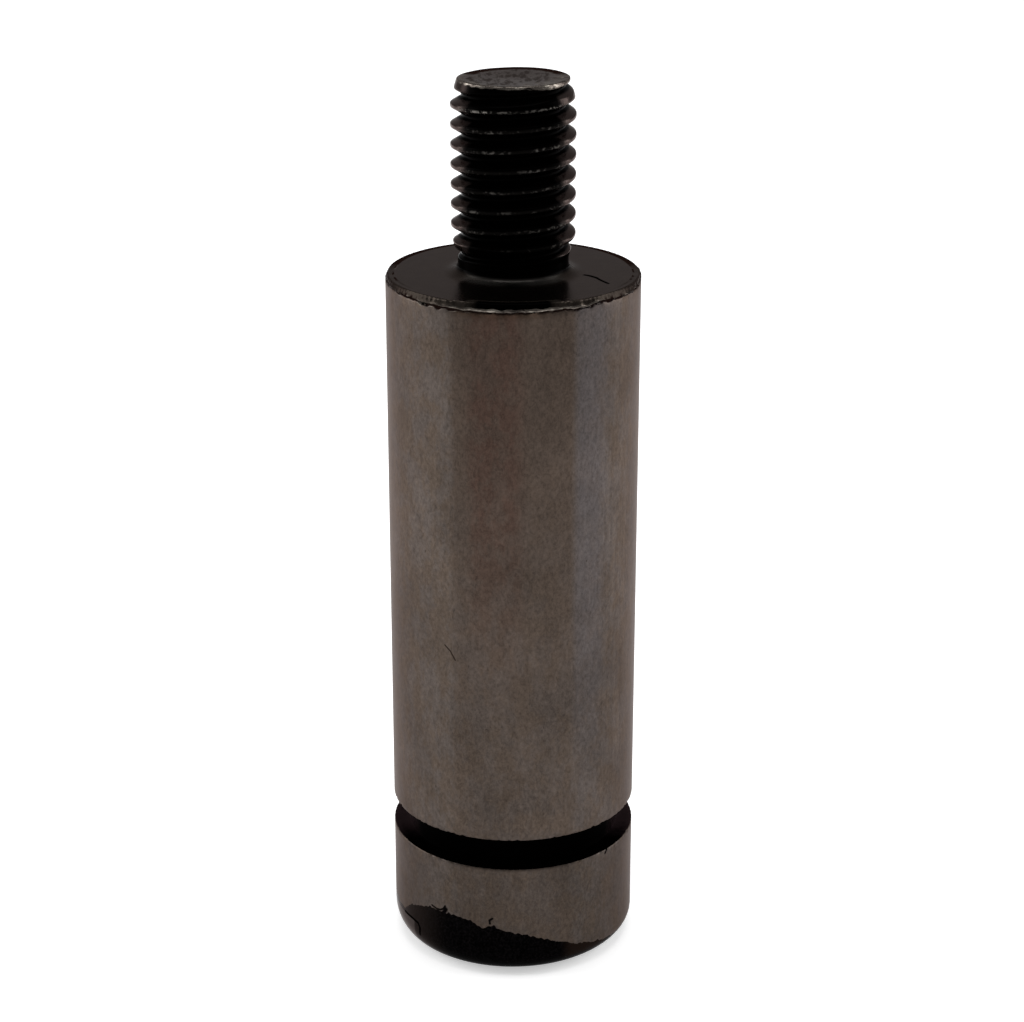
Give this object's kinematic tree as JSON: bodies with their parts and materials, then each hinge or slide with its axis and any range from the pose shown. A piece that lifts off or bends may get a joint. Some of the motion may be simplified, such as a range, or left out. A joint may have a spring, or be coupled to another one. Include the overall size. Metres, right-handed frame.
{
  "type": "threaded pin",
  "caption": "Ground steel pin that slides in a bore, with a shouldered threaded stud on top and a ring groove above its rounded foot.",
  "frame": {"origin": "on the axis, at the flat face the pin stands on", "axes": "+Z along the pin's axis, up towards the threaded stud; +X is the side where the thread's crest height is given"},
  "size_m": [0.0162, 0.0162, 0.0586],
  "materials": {
    "ground_steel": "ground satin on the barrel and foot land, black oxide on the stud, shoulder, groove and foot edge"
  },
  "bodies": {
    "root": {"threaded_pin": "ground_steel"}
  },
  "joints": []
}
